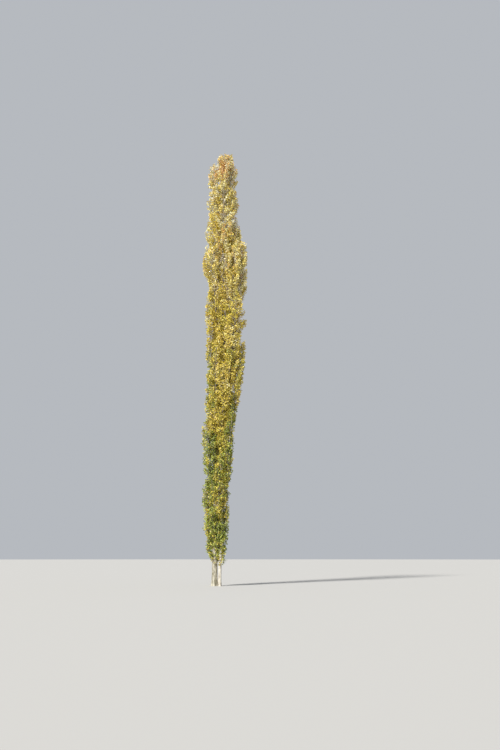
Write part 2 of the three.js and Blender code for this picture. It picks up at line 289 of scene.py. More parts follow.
class Wire:
    """A node's output, so that shader maths is written as an expression"""

    def __init__(self, finish, socket):
        self.finish = finish
        self.socket = socket

    def _maths(self, operation, first, second):
        return self.finish.node("ShaderNodeMath", {"operation": operation}, [first, second])

    def __add__(self, other):
        return self._maths("ADD", self, other)

    def __sub__(self, other):
        return self._maths("SUBTRACT", self, other)

    def __rsub__(self, other):
        return self._maths("SUBTRACT", other, self)

    def __mul__(self, other):
        return self._maths("MULTIPLY", self, other)

    __radd__ = __add__
    __rmul__ = __mul__


class Finish:
    """A material, built up node by node"""

    def __init__(self, name):
        self.material = bpy.data.materials.new(name)
        self.material.use_nodes = True
        self.tree = self.material.node_tree
        self.tree.nodes.clear()

    def node(self, kind, settings=None, sockets=None, output=0):
        """Adds a node, sets it, gives its sockets their values or links, and returns an output"""
        made = self.tree.nodes.new(kind)
        for name, value in (settings or {}).items():
            setattr(made, name, value)
        named = sockets if isinstance(sockets, dict) else dict(enumerate(sockets or []))
        for name, value in named.items():
            if isinstance(value, Wire):
                self.tree.links.new(value.socket, made.inputs[name])
            else:
                made.inputs[name].default_value = value
        return Wire(self, made.outputs[output]) if made.outputs else None

    def place(self, scale):
        """Object coordinates, scaled along each axis"""
        place = self.node("ShaderNodeTexCoord", output="Object")
        return self.node("ShaderNodeMapping", sockets={"Vector": place, "Scale": scale})

    def cloud(self, scale, size, detail):
        """A soft pattern, from 0 to 1, in places scaled along each axis"""
        sockets = {"Vector": self.place(scale), "Scale": size, "Detail": detail, "Roughness": 0.6}
        return self.node("ShaderNodeTexNoise", sockets=sockets)

    def mask(self, value, low, high):
        """0 below low, 1 above high and smooth between"""
        settings = {"interpolation_type": "SMOOTHSTEP"}
        sockets = {"Value": value, "From Min": low, "From Max": high}
        return self.node("ShaderNodeMapRange", settings, sockets)

    def blend(self, share, first, second):
        """The first colour where share is 0 and the second where it is 1"""
        settings = {"data_type": "RGBA"}
        return self.node("ShaderNodeMix", settings, {0: share, 6: first, 7: second}, output=2)

    def surface(self, sockets):
        """The shader, which ends the material"""
        shader = self.node("ShaderNodeBsdfPrincipled", sockets=sockets)
        self.node("ShaderNodeOutputMaterial", sockets=[shader])
        return self.material


def colour(code):
    """The colour that a six-digit code shows on a screen, as a shader's linear values"""
    shown = [int(code[i : i + 2], 16) / 255 for i in (0, 2, 4)]
    linear = [c / 12.92 if c <= 0.04045 else ((c + 0.055) / 1.055) ** 2.4 for c in shown]
    return (*linear, 1)


PLATE_SCALE = (1, 1, 0.13)  # along each axis: bark plates are long and narrow
PLATES_PER_METRE = 38
PLATE_BEND = 0.06  # how far the plates' edges wander
BEND_SIZE = 16
OLD_BARK = (4.5, 0.2)  # the heights at which splits are faintest and deepest
FAINTEST_SPLIT = 0.15
SPLIT_EDGE = (0.36, 0.12)  # how near a plate's edge the bark starts to split, and is fully split
SPLIT_RAGGED = 0.3
GRAIN = ((1, 1, 0.22), 48, 5)  # a pattern's scale along each axis, how fine it is, and its detail
WEATHER = ((1, 1, 0.45), 6.5, 4)
CROSS_MARKS = ((1, 1, 7), 9, 3)
BREAKS = ((1, 1, 0.3), 14, 3)
WEATHERED = (0.4, 0.66)  # between which values of its pattern each of them shows
GRAINED = (0.56, 0.36)
MARKED = (0.64, 0.72)
BROKEN = (0.4, 0.62)
GRAIN_SHADE = 0.5  # how strongly each of them darkens the bark
MARK_SHADE = 0.4
SPLIT_SHADE = 0.75
GRAIN_RELIEF = 0.35
BARK_ROUGHNESS = 0.75
SPLIT_ROUGHNESS = 0.2


def stem_finish(name, pale, grey, dark):
    """Poplar bark: pale, greyer in patches, and split into long plates towards the ground"""
    finish = Finish(name)
    along = finish.place(PLATE_SCALE)
    sockets = {"Vector": along, "Scale": BEND_SIZE}
    wander = finish.node("ShaderNodeTexNoise", sockets=sockets, output="Color")
    sockets = {0: PLATE_BEND, 4: along, 5: wander}
    bent = finish.node("ShaderNodeMix", {"data_type": "VECTOR"}, sockets, output=1)
    plates = finish.node(
        "ShaderNodeTexVoronoi",
        {"feature": "DISTANCE_TO_EDGE"},
        {"Vector": bent, "Scale": PLATES_PER_METRE},
        output="Distance",
    )
    height = finish.node("ShaderNodeSeparateXYZ", sockets=[finish.place((1, 1, 1))], output="Z")
    old = finish.mask(height, *OLD_BARK)
    grain = finish.cloud(*GRAIN)
    weather = finish.cloud(*WEATHER)
    across = finish.cloud(*CROSS_MARKS)
    broken = finish.mask(finish.cloud(*BREAKS), *BROKEN)
    depth = FAINTEST_SPLIT + old * (1 - FAINTEST_SPLIT)
    split = finish.mask(plates + grain * SPLIT_RAGGED, *SPLIT_EDGE) * depth * broken
    marks = finish.mask(across, *MARKED)
    worn = finish.blend(finish.mask(weather, *WEATHERED), pale, grey)
    grained = finish.blend(finish.mask(grain, *GRAINED) * GRAIN_SHADE, worn, grey)
    marked = finish.blend(marks * MARK_SHADE, grained, dark)
    shown = finish.blend(split * SPLIT_SHADE, marked, dark)
    relief = grain * GRAIN_RELIEF - split
    sockets = {"Height": relief, "Strength": 0.8, "Distance": 0.012}
    bump = finish.node("ShaderNodeBump", sockets=sockets)
    roughness = BARK_ROUGHNESS + split * SPLIT_ROUGHNESS
    return finish.surface({"Base Color": shown, "Roughness": roughness, "Normal": bump})


for stem in STEMS:
    pole = model_stem(stem)
    pale, grey, dark = (colour(code) for code in stem.bark_colours)
    pole.data.materials.append(stem_finish(stem.name + "_bark", pale, grey, dark))
    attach(pole, "root")
    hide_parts(stem.name)


# The boughs
# Tapering limbs of grey-barked wood that leave a stem at a steep slant, swollen where they join
# it, and turn upwards. Each ends where it enters its own mass of foliage.

GOLDEN_TURN = math.pi * (3 - math.sqrt(5))
MASS_LENGTH = ((1.5, 1.9), (5, 3.1), (10, 4.3), (19, 4.3), (23, 3))  # by height
LEAST_LENGTH = 0.88  # of a mass, as a share of the usual length at its height
LENGTH_SPREAD = 0.24
MASS_STEP = 0.33  # the climb from one mass to the next, as a share of a mass's length
TURN_SPREAD = 0.3  # how unevenly the masses are turned round a stem
HALF_WIDTH = 0.8  # of a mass, as a share of the crown's reach
FOOT_OUT = 0.44  # how far out a mass starts, as a share of the reach
TIP_OUT = 0.74
TIP_SPREAD = 0.12
TOP_CLEARANCE = 0.4  # how far below the top of the crown a mass ends at least
LEADER_SIGHT = 1.5  # the length of stem that gives a leader its direction
AXIS_POINTS = 25  # the points of a mass's axis that are tried for room
MASS_APART = ((2, 0.2), (7.5, 0.35))  # between two masses' axes at least, by height
SPRUNG_APART = 0.09  # the same for two masses that spring from a stem
STEM_APART = 0.21
NO_BOUGH_BELOW = 2.5  # lower masses spring from the stem itself
BOUGH_DROP = 0.36  # how far below its tip a bough leaves the stem, as a share of the mass
BOUGH_BEND = 0.55  # how far below its tip a bough bends, as a share of that drop
BOUGH_RADIUS = (0.02, 0.042)
BOUGH_SHARE = 0.36  # of the stem's radius
BOUGH_TAPER = 0.55
BOUGH_SIDES = 16
BOUGH_RINGS = 36
BOUGH_GRAIN = 0.03
BOUGH_STRETCH = 3
BOUGH_RELIEF = 0.003
COLLAR = 0.5  # how much wider a bough is where it leaves the stem
COLLAR_START = 1.6  # where it starts to narrow, in radii of the stem
COLLAR_REACH = 0.1
SEED_STEP = 10  # times a stem's height gives the seed of its lowest mass
TIP_SEED = 0.5  # added to a seed, for another number from it
TURN_SEED = 0.3
LUCK_PITCH = 12.9898  # this and the next two are uneven numbers that scatter the seeds
LUCK_START = 4.1
LUCK_SPREAD = 43758.5453


def chance(seed):
    """A number from 0 to 1 that is always the same for the same seed"""
    spread = math.sin(seed * LUCK_PITCH + LUCK_START) * LUCK_SPREAD
    return spread - math.floor(spread)


def crown_middle(stem, z):
    """The line round which a stem's crown is even"""
    middle = on_stem(stem, np.minimum(z, stem.even_above))
    middle[..., 2] = z
    return middle


def unit(vectors):
    """The same directions, each one unit long"""
    return vectors / np.linalg.norm(vectors, axis=-1, keepdims=True)


def place_mass(stem, z, turn, seed):
    """The mass that starts at height z on this side of the stem"""
    side = np.array([math.cos(turn), math.sin(turn), 0])
    length = size_at(MASS_LENGTH, z) * (LEAST_LENGTH + LENGTH_SPREAD * chance(seed))
    top = min(z + length, stem.height + stem.leader_length - TOP_CLEARANCE)
    springs = z < NO_BOUGH_BELOW
    out = FOOT_OUT * size_at(stem.reach, z)
    tip_share = TIP_OUT + TIP_SPREAD * (chance(seed + TIP_SEED) - 0.5)
    tip_out = tip_share * size_at(stem.reach, top)
    return SimpleNamespace(
        stem=stem,
        leads=False,
        springs=springs,
        foot=on_stem(stem, z) if springs else crown_middle(stem, z) + out * side,
        tip=crown_middle(stem, top) + tip_out * side,
        half_width=HALF_WIDTH * size_at(stem.reach, (z + top) / 2),
    )


def place_leader(stem):
    """The mass that sits on a stem's own tip"""
    foot = on_stem(stem, stem.height)
    heading = unit(foot - on_stem(stem, stem.height - LEADER_SIGHT))
    return SimpleNamespace(
        stem=stem,
        leads=True,
        springs=False,
        foot=foot,
        tip=foot + stem.leader_length * heading,
        half_width=HALF_WIDTH * size_at(stem.reach, stem.height),
    )


def points_up_axis(mass):
    """Points from a mass's foot to its tip"""
    share = np.linspace(0, 1, AXIS_POINTS)[:, None]
    return mass.foot * (1 - share) + mass.tip * share


def gap_between(points, others):
    """The least distance from one group of points to the other"""
    return np.linalg.norm(points[:, None] - others[None], axis=2).min()


def has_room(mass, others):
    """True if the mass's axis has room beside the other stem and the masses already there"""
    twin = next(stem for stem in STEMS if stem is not mass.stem)
    axis = points_up_axis(mass)
    level = axis[axis[:, 2] < twin.height + twin.leader_length / 2]
    beside = on_stem(twin, np.minimum(level[:, 2], twin.height))
    if len(level) and np.linalg.norm(level - beside, axis=1).min() <= STEM_APART:
        return False
    for other in others:
        both_spring = mass.springs and other.springs
        apart = SPRUNG_APART if both_spring else size_at(MASS_APART, mass.foot[2])
        if gap_between(axis, points_up_axis(other)) <= apart:
            return False
    return True


def place_masses():
    """The leaders, and in a spiral up each stem every mass that has room, from low to high"""
    placed = [place_leader(stem) for stem in STEMS]
    for stem in STEMS:
        turn = stem.first_turn
        z = stem.masses[0]
        count = 0
        while z < stem.masses[1]:
            mass = place_mass(stem, z, turn, stem.height * SEED_STEP + count)
            if has_room(mass, placed):
                placed.append(mass)
            turn += GOLDEN_TURN + TURN_SPREAD * (chance(count + TURN_SEED) - 0.5)
            z += MASS_STEP * size_at(MASS_LENGTH, z)
            count += 1
    return sorted(placed, key=lambda mass: mass.foot[2])


def bough_drop(mass):
    """How far below the foot of its mass a bough leaves the stem"""
    return BOUGH_DROP * np.linalg.norm(mass.tip - mass.foot)


def bough_radius(mass):
    """Half a bough's thickness near the stem, without its collar"""
    radius = BOUGH_SHARE * stem_radius(mass.stem, mass.foot[2] - bough_drop(mass))
    return float(np.clip(radius, *BOUGH_RADIUS))


def on_curve(start, bend, end, along):
    """A point of a curve that leaves start towards bend and ends at end"""
    return (1 - along) ** 2 * start + 2 * along * (1 - along) * bend + along**2 * end


def along_curve(start, bend, end, along):
    """The direction of that curve"""
    return unit((1 - along) * (bend - start) + along * (end - bend))


def bough_line(mass):
    """Where a bough starts at its stem, where it bends, and where it ends"""
    drop = bough_drop(mass)
    root = on_stem(mass.stem, mass.foot[2] - drop)
    bend = mass.foot - BOUGH_BEND * drop * unit(mass.tip - mass.foot)
    return root, bend, mass.foot


def model_bough(mass):
    """A pole laid along the bough's curve, with a collar where it leaves the stem"""
    pole = round_pole(f"bough_{mass.label}_bark", BOUGH_SIDES, (BOUGH_RINGS,))
    root, bend, foot = bough_line(mass)
    places = points_of(pole)
    along = places[:, 2:3]
    middle = on_curve(root, bend, foot, along)
    heading = along_curve(root, bend, foot, along)
    across = unit(np.cross(heading, [1, 0, 0]))
    other = np.cross(across, heading)
    inside = COLLAR_START * stem_radius(mass.stem, root[2])
    clear = np.linalg.norm(middle - root, axis=1, keepdims=True) - inside
    collar = 1 + COLLAR * np.exp(-np.maximum(clear, 0) / COLLAR_REACH)
    radius = bough_radius(mass) * (1 + (BOUGH_TAPER - 1) * along) * collar
    move_points(pole, middle + radius * (places[:, 0:1] * across + places[:, 1:2] * other))
    press_bark(pole, BOUGH_GRAIN, BOUGH_STRETCH, BOUGH_RELIEF, np.ones(len(places)))
    bpy.ops.object.shade_smooth_by_angle(angle=SMOOTH_ANGLE)
    return pole


STREAKS = ((1, 1, 0.25), 40, 5)  # their scale along each axis, how fine they are, their detail
STREAKED = (0.35, 0.65)


def bough_finish(name, pale, grey):
    """Smoother, greyer bark in long faint streaks"""
    finish = Finish(name)
    streaks = finish.cloud(*STREAKS)
    shown = finish.blend(finish.mask(streaks, *STREAKED), grey, pale)
    sockets = {"Height": streaks, "Strength": 0.5, "Distance": 0.006}
    bump = finish.node("ShaderNodeBump", sockets=sockets)
    return finish.surface({"Base Color": shown, "Roughness": 0.8, "Normal": bump})


BOUGH_BARK = bough_finish("bough_bark", colour("b9b0a3"), colour("8b8178"))

masses = place_masses()
for number, mass in enumerate(masses, 1):
    mass.label = f"{number:02d}"
    if mass.leads or mass.springs:
        continue
    pole = model_bough(mass)
    pole.data.materials.append(BOUGH_BARK)
    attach(pole, "root")
    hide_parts("bough_" + mass.label)


# The shoots and twigs
# A bough carries on as the stem of its mass. Steep shoots leave it, the boughs and the two stems
# in spirals, and thin twigs leave the shoots. Some shoots have lost their leaves. Each kind of
# young wood is one joined mesh for each level of the crown.

LEVELS = {"low": 8, "middle": 16.5, "top": math.inf}  # masses whose middle is under this height
CROWN_EDGE = 0.97  # how far a mass's shoots go towards the crown's edge
INNER_EDGE = ((6.5, 0.95), (9, 0.82), (14, 0.82), (17, 0.92), (22.5, 0.95))  # and inner ones
EDGE_LIFT = 0.6  # how far the lobes of the crown's edge rise from its sides to its front
LIFT_FADE = 3  # the height below its top in which that lift fades out
SPIRE_WIDTH = 0.6  # how far the crown reaches out round the foot of a leader
FLAME_FOOT = 0.16  # where on its swell a mass's flame shape starts
FLAME_BULGE = 0.85  # under 1, which brings the widest place of a mass lower
FLAME_LEAST = 0.12
FLAME_FULLNESS = 0.8  # under 1, which rounds its sides
FLAME_TOP = 1.03  # how far up its axis a mass ends, as a share of the axis
MASS_STEM_REACH = 0.95  # how far up its axis the stem of a mass goes
MASS_STEM_BOW = 0.06
MASS_STEM_TIP = 0.004
SHOOT_STEP = 0.075  # from one shoot to the next along the stem of a mass
SHOOT_SPAN = (0, 0.98)  # the part of that stem that bears shoots
SHOOT_LENGTHS = (1.25, 2)  # the least and the most, in half-widths of the mass
SHOOT_ANGLES = (0.95, 0.3)  # from its parent's direction, where a shoot starts and where it ends
SHOOT_RADII = (0.011, 0.004)  # at its foot and at its tip
SHOOT_BEND = 0.45  # how far along it a shoot or twig bends
SHOOT_RISE = 0.35  # how strongly it turns upwards there
SHOOT_STRAY = 0.12
PARENT_TURN = 2.4  # from one parent's first shoot to the next one's
TURN_STRAY = 0.6
INNER_STEP = 0.06  # from one shoot to the next along a stem or bough
LEADER_STEP = 0.04  # and along a leader
INNER_LENGTH = ((15.8, 1.05), (16.8, 2.3), (20, 2.3), (22.5, 1.9))  # the longest, in reaches
INNER_SHORTEST = 0.45  # as a share of the longest at its height
INNER_START = 1.1  # the height of the lowest shoot on a stem
STEM_PART = 0.6  # the length of a stem that is taken as straight
TWIG_STEP = 0.056
TWIG_SPAN = (0.12, 1)  # the part of a shoot that bears twigs
TWIG_LENGTHS = (0.36, 0.15)  # from the foot of a shoot to its end
TWIG_SPREAD = (0.7, 1.2)  # the least and the most of that length
TWIG_ANGLES = (0.85, 0.35)
TWIG_RADII = (0.0045, 0.0015)
SHADED = (0.05, 0.35)  # how far out in the crown no light comes in, and where all of it does
FEWEST_TWIGS = 0.25  # the share of twigs that grow even in the darkest place
LIMB_MARGIN = 0.012  # how far shoots and twigs may pass the solids' box, as a share of its side
TRIED_POINTS = 8  # of a shoot or twig, to see how far it has room
SHORTEST = 0.2  # the share of its length that it has to have room for
BARE = ((11, 0), (17, 0.24), (21, 0.36), (27, 0.36))  # the share of bare shoots, by height
BARE_PATCH = (0.14, 0.14, 0.3)  # the shoots that end in a patch of this size are bare together
PATCH_MIX = (12.9898, 78.233, 37.719)  # uneven numbers that scatter the patches
WOOD_TUBES = {"limbs": (8, 24), "shoots": (4, 5), "twigs": (3, 2)}  # a tube's sides and rings


class Limbs:
    """Many limbs at once, each a curve from its start past its bend to its end"""

    def __init__(self, start, bend, end, radii, mass, bare):
        self.start = start
        self.bend = bend
        self.end = end
        self.radii = radii
        self.mass = mass
        self.bare = bare

    def __len__(self):
        return len(self.mass)

    def parts(self):
        """What the limbs hold, in the order in which they are made"""
        return self.start, self.bend, self.end, self.radii, self.mass, self.bare

    def at(self, which, along):
        """The point of each chosen limb that lies this share of the way along it"""
        return on_curve(self.start[which], self.bend[which], self.end[which], along[:, None])

    def heading(self, which, along):
        """The direction of each chosen limb at that point"""
        return along_curve(self.start[which], self.bend[which], self.end[which], along[:, None])

    def lengths(self):
        """How far each limb's end is from its start"""
        return np.linalg.norm(self.end - self.start, axis=1)

    def only(self, kept):
        """The limbs that are kept"""
        return Limbs(*(part[kept] for part in self.parts()))

    def cut_at(self, along):
        """The same limbs, each only as far as along"""
        bend = self.start + (self.bend - self.start) * along[:, None]
        end = self.at(np.arange(len(self)), along)
        return Limbs(self.start, bend, end, self.radii, self.mass, self.bare)


def together(*groups):
    """Several groups of limbs as one"""
    parts = zip(*(group.parts() for group in groups))
    return Limbs(*(np.concatenate(part) for part in parts))


mass_feet = np.array([mass.foot for mass in masses])
mass_axes = np.array([mass.tip - mass.foot for mass in masses])
mass_widths = np.array([mass.half_width for mass in masses])


def off_axes(points):
    """How far each point is from each mass's axis, and how far up that axis"""
    out = points[:, None] - mass_feet
    along = (out * mass_axes).sum(2) / (mass_axes**2).sum(1)
    near = np.clip(along, 0, 1)[..., None] * mass_axes
    return np.linalg.norm(out - near, axis=2), along


def nearest_mass(points):
    """The number of the mass whose axis is nearest to each point"""
    return off_axes(points)[0].argmin(axis=1)


def flame_width(mass, along):
    """How far a mass reaches out from its axis, from its foot at 0 to its tip at 1, like a flame"""
    climb = np.clip(along, 0, 1) ** FLAME_BULGE
    swell = np.sin(np.pi * (FLAME_FOOT + (1 - FLAME_FOOT) * climb))
    return mass_widths[mass] * np.maximum(FLAME_LEAST, swell) ** FLAME_FULLNESS


def crown_share(points):
    """How far out in the crown each point is: 0 in its middle, 1 at its edge or a spire's"""
    z = points[:, 2]
    out_of_axis, along = off_axes(points)
    shares = []
    for stem in STEMS:
        top = stem.height + stem.leader_length
        out = points - crown_middle(stem, z)
        gap = np.linalg.norm(out, axis=1)
        back = out[:, 1] / np.maximum(gap, TINY)
        lift = EDGE_LIFT * np.clip((top - z) / LIFT_FADE, 0, 1) * back
        shares.append(np.where(z < top, gap / size_at(stem.edge, z + lift), math.inf))
    for leader in np.flatnonzero([mass.leads for mass in masses]):
        spire = SPIRE_WIDTH * np.sqrt(np.clip(1 - along[:, leader], TINY, 1))
        shares.append(out_of_axis[:, leader] / spire)
    return np.min(shares, axis=0)


def in_box(points, margin):
    """True where a point is in the solids' box, made larger by a share of its side all round"""
    low, high = np.array(cad_box)
    room = margin * (high - low)
    return ((points > low - room) & (points < high + room)).all(axis=1)


def in_mass(points, mass):
    """True where a point is in its mass's space: in the crown and flame, nearest its own axis"""
    out, along = off_axes(points)
    rows = np.arange(len(points))
    own_out, own_along = out[rows, mass], along[rows, mass]
    nearest = out.argmin(axis=1) == mass
    flame = (own_out < flame_width(mass, own_along)) & (own_along < FLAME_TOP)
    return nearest & flame & (crown_share(points) < CROWN_EDGE)


def in_crown(points, mass):
    """True where a point is in the crown, in a mass or between the masses"""
    return crown_share(points) < size_at(INNER_EDGE, points[:, 2])


def kept_in(space, limbs):
    """The limbs cut off where they leave their space, without those that have no room"""
    everyone = np.arange(len(limbs))
    inside = np.ones(len(limbs), bool)
    reached = np.zeros(len(limbs))
    for step in np.linspace(0, 1, TRIED_POINTS + 1)[1:]:
        points = limbs.at(everyone, np.full(len(limbs), step))
        inside &= space(points, limbs.mass) & in_box(points, LIMB_MARGIN)
        reached[inside] = step
    roomy = reached >= SHORTEST
    return limbs.only(roomy).cut_at(reached[roomy])


def square_to(headings):
    """Two directions square to each heading and to each other"""
    across = unit(np.cross(np.broadcast_to([1.0, 0, 0], headings.shape), headings))
    return across, np.cross(headings, across)


def branch(parents, places, length, angles, radii):
    """Limbs that leave their parents to one side, bent up towards their parents' direction"""
    which, along, turn = places
    root = parents.at(which, along)
    heading = parents.heading(which, along)
    across, other = square_to(heading)
    side = across * np.cos(turn)[:, None] + other * np.sin(turn)[:, None]
    first, last = (heading * math.cos(angle) + side * math.sin(angle) for angle in angles)
    last = unit(last + [0, 0, SHOOT_RISE])
    stray = SHOOT_STRAY * draw.standard_normal(root.shape)
    bend = root + SHOOT_BEND * length[:, None] * unit(first + stray)
    end = bend + (1 - SHOOT_BEND) * length[:, None] * unit(last + stray[::-1])
    radii = np.broadcast_to(radii, (len(root), 2))
    return Limbs(root, bend, end, radii, parents.mass[which], parents.bare[which])


def spaced(parents, step, first, last):
    """Places along each parent: which parent, how far along it, and the turn round it"""
    counts = np.maximum(1, (parents.lengths() * (last - first) / step).astype(int))
    which = np.repeat(np.arange(len(parents)), counts)
    order = np.arange(len(which)) - np.repeat(np.cumsum(counts) - counts, counts)
    share = (order + draw.random(len(which))) / counts[which]
    stray = TURN_STRAY * draw.standard_normal(len(which))
    turn = order * GOLDEN_TURN + PARENT_TURN * which + stray
    return which, first + (last - first) * share, turn


def mass_stem_limbs():
    """The stem of each mass, from its bough's tip almost to its own tip"""
    start = mass_feet
    end = mass_feet + MASS_STEM_REACH * mass_axes
    bow = MASS_STEM_BOW * draw.standard_normal(start.shape) * [1, 1, 0]
    foot = [m.stem.tip_radius if m.leads else bough_radius(m) * BOUGH_TAPER for m in masses]
    radii = np.column_stack([foot, np.full(len(masses), MASS_STEM_TIP)])
    bare = np.zeros(len(masses), bool)
    return Limbs(start, (start + end) / 2 + bow, end, radii, np.arange(len(masses)), bare)


def wood_lines(start, bend, end, mass):
    """Lines of wood that is already modelled, for shoots to leave"""
    return Limbs(start, bend, end, np.zeros((len(mass), 2)), mass, np.zeros(len(mass), bool))


def stem_lines():
    """The two stems inside the crown, in lengths that are almost straight"""
    starts, ends = [], []
    for stem in STEMS:
        z = np.arange(INNER_START, stem.height + STEM_PART, STEM_PART)
        line = on_stem(stem, np.minimum(z, stem.height))
        starts.append(line[:-1])
        ends.append(line[1:])
    start, end = np.concatenate(starts), np.concatenate(ends)
    middle = (start + end) / 2
    return wood_lines(start, middle, end, nearest_mass(middle))


def bough_lines():
    """The boughs, each with the mass that it carries"""
    rooted = [number for number, mass in enumerate(masses) if not (mass.leads or mass.springs)]
    lines = np.array([bough_line(masses[number]) for number in rooted])
    return wood_lines(*lines.transpose(1, 0, 2), np.array(rooted))


def luck_by_place(points, patch):
    """A number from 0 to 1 for each point, the same all over a patch of the crown"""
    return np.sin(np.floor(points / patch) @ PATCH_MIX) * LUCK_SPREAD % 1


def turn_bare(shoots):
    """Marks the shoots that have lost their leaves, in patches, with more towards the top"""
    luck = luck_by_place(shoots.end, BARE_PATCH)
    shoots.bare = luck < size_at(BARE, shoots.end[:, 2])
    return shoots


def grow_shoots(stems):
    """Shoots from the stems of the masses, each kept in its own mass"""
    places = spaced(stems, SHOOT_STEP, *SHOOT_SPAN)
    which, along, _ = places
    length = flame_width(stems.mass[which], along) * draw.uniform(*SHOOT_LENGTHS, len(which))
    return turn_bare(kept_in(in_mass, branch(stems, places, length, SHOOT_ANGLES, SHOOT_RADII)))


def grow_inner_shoots(parents, step):
    """Shoots straight from the stems and boughs, which fill the crown between the masses"""
    places = spaced(parents, step, 0, 1)
    which, along, _ = places
    height = parents.at(which, along)[:, 2]
    longest = size_at(INNER_LENGTH, height) * size_at(TRUNK.reach, height)
    length = longest * draw.uniform(INNER_SHORTEST, 1, len(which))
    shoots = kept_in(in_crown, branch(parents, places, length, SHOOT_ANGLES, SHOOT_RADII))
    shoots.mass = nearest_mass(shoots.end)
    return turn_bare(shoots)


def grow_twigs(shoots, space):
    """Twigs along the shoots, fewer of them where the crown is shaded"""
    places = spaced(shoots, TWIG_STEP, *TWIG_SPAN)
    which, along, _ = places
    longest, shortest = TWIG_LENGTHS
    usual = longest + (shortest - longest) * along
    length = usual * draw.uniform(*TWIG_SPREAD, len(which))
    twigs = branch(shoots, places, length, TWIG_ANGLES, TWIG_RADII)
    dark, light = SHADED
    lit = np.clip((crown_share(twigs.end) - dark) / (light - dark), FEWEST_TWIGS, 1)
    return kept_in(space, twigs.only(draw.random(len(twigs)) < lit))


def mesh_of(name, corners, faces):
    """A piece from rows of corners and rows of three-sided faces"""
    mesh = bpy.data.meshes.new(name)
    mesh.vertices.add(len(corners))
    mesh.vertices.foreach_set("co", corners.astype(np.float32).ravel())
    mesh.loops.add(faces.size)
    mesh.loops.foreach_set("vertex_index", faces.astype(np.int32).ravel())
    mesh.polygons.add(len(faces))
    mesh.polygons.foreach_set("loop_start", np.arange(0, faces.size, 3, dtype=np.int32))
    mesh.update(calc_edges=True)
    piece = bpy.data.objects.new(name, mesh)
    bpy.context.scene.collection.objects.link(piece)
    return piece


def limb_mesh(name, limbs, sides, steps):
    """The limbs as one mesh of tapering tubes, each closed at its foot and brought to a point"""
    everyone = np.arange(len(limbs))
    ring = np.arange(sides)
    rows = []
    for step in range(steps):
        along = np.full(len(limbs), step / steps)
        middle = limbs.at(everyone, along)
        across, other = square_to(limbs.heading(everyone, along))
        radius = limbs.radii[:, 0] + (limbs.radii[:, 1] - limbs.radii[:, 0]) * step / steps
        turn = 2 * np.pi * ring / sides
        spoke = across[:, None] * np.cos(turn)[:, None] + other[:, None] * np.sin(turn)[:, None]
        rows.append(middle[:, None] + radius[:, None, None] * spoke)
    tips = limbs.end[:, None]
    feet = limbs.start[:, None]
    corners = np.concatenate([*rows, tips, feet], axis=1)
    each = corners.shape[1]
    tip, foot = each - 2, each - 1
    following = np.roll(ring, -1)
    walls = []
    for step in range(steps - 1):
        low, high = step * sides, (step + 1) * sides
        walls.append(np.stack([low + ring, low + following, high + following], axis=1))
        walls.append(np.stack([low + ring, high + following, high + ring], axis=1))
    last = (steps - 1) * sides
    walls.append(np.stack([last + ring, last + following, np.full(sides, tip)], axis=1))
    walls.append(np.stack([following, ring, np.full(sides, foot)], axis=1))
    faces = np.concatenate(walls)[None] + each * everyone[:, None, None]
    return mesh_of(name, corners.reshape(-1, 3), faces.reshape(-1, 3))


def wood_finish(name, shade):
    """Smooth young bark, the same all over"""
    return Finish(name).surface({"Base Color": shade, "Roughness": 0.7})


SHOOT_BARK = wood_finish("shoot_bark", colour("bdb3ab"))
TWIG_BARK = wood_finish("twig_bark", colour("dbd4d4"))

mass_stems = mass_stem_limbs()
outer_shoots = grow_shoots(mass_stems)
leaders = mass_stems.only([mass.leads for mass in masses])
inner_shoots = together(
    grow_inner_shoots(together(stem_lines(), bough_lines()), INNER_STEP),
    grow_inner_shoots(leaders, LEADER_STEP),
)
shoots = together(outer_shoots, inner_shoots)
twigs = together(grow_twigs(outer_shoots, in_mass), grow_twigs(inner_shoots, in_crown))
middles = mass_feet[:, 2] + mass_axes[:, 2] / 2
level_of = np.searchsorted(list(LEVELS.values()), middles, side="right")
level_nodes = {
    level: ["foliage_" + mass.label for mass, own in zip(masses, level_of) if own == number]
    for number, level in enumerate(LEVELS)
}
kinds_of_wood = (
    ("limbs", mass_stems, BOUGH_BARK),
    ("shoots", shoots, SHOOT_BARK),
    ("twigs", twigs, TWIG_BARK),
)
for number, level in enumerate(LEVELS):
    for kind, limbs, bark in kinds_of_wood:
        own = limbs.only(level_of[limbs.mass] == number)
        piece = limb_mesh(f"{kind}_{level}", own, *WOOD_TUBES[kind])
        piece.data.polygons.foreach_set("use_smooth", np.ones(len(piece.data.polygons), bool))
        piece.data.materials.append(bark)
        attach(piece, "root")
        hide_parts(*level_nodes[level])
